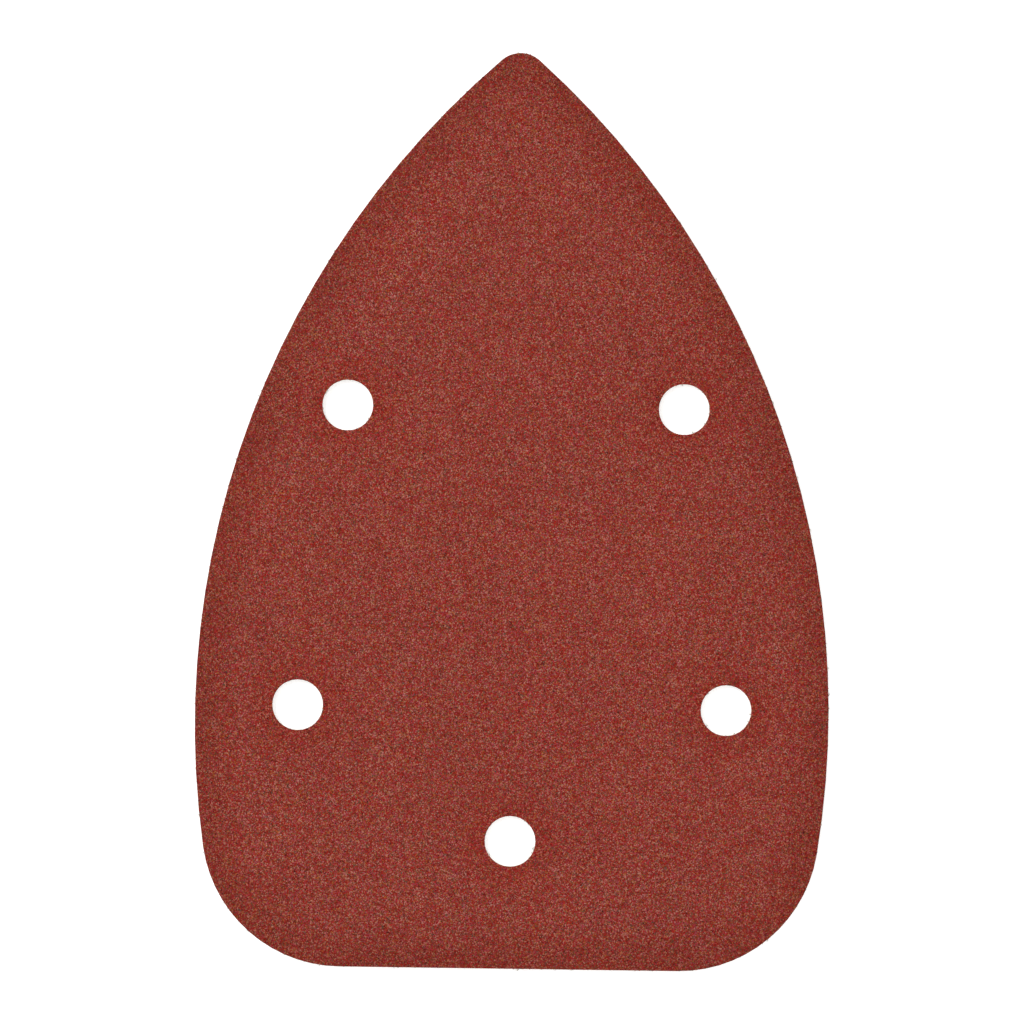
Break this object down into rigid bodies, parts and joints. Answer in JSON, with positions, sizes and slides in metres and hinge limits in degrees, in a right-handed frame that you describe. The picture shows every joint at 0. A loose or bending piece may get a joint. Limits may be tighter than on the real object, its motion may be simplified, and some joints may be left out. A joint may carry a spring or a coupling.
{
  "type": "detail sander sanding sheet",
  "caption": "Teardrop hook-and-loop sanding sheet with red abrasive, a pointed tip, rounded rear corners and dust extraction holes.",
  "frame": {"origin": "middle of the sheet's length and width, on the plane that the tips of the loops rest on", "axes": "+Z out of the abrasive face, +Y to the pointed tip, +X to the right seen from the abrasive side"},
  "size_m": [0.1, 0.1446, 0.0015],
  "materials": {
    "loop_pile": "matte",
    "knit_ground": "matte",
    "laminating_adhesive": "satin",
    "backing_paper": "matte",
    "make_coat": "satin",
    "abrasive_grain": "matte",
    "size_coat": "satin"
  },
  "bodies": {
    "root": {"loop_pile": "loop_pile", "knit_ground": "knit_ground", "laminating_adhesive": "laminating_adhesive", "backing_paper": "backing_paper", "make_coat": "make_coat", "abrasive_grain": "abrasive_grain", "size_coat": "size_coat"}
  },
  "joints": []
}
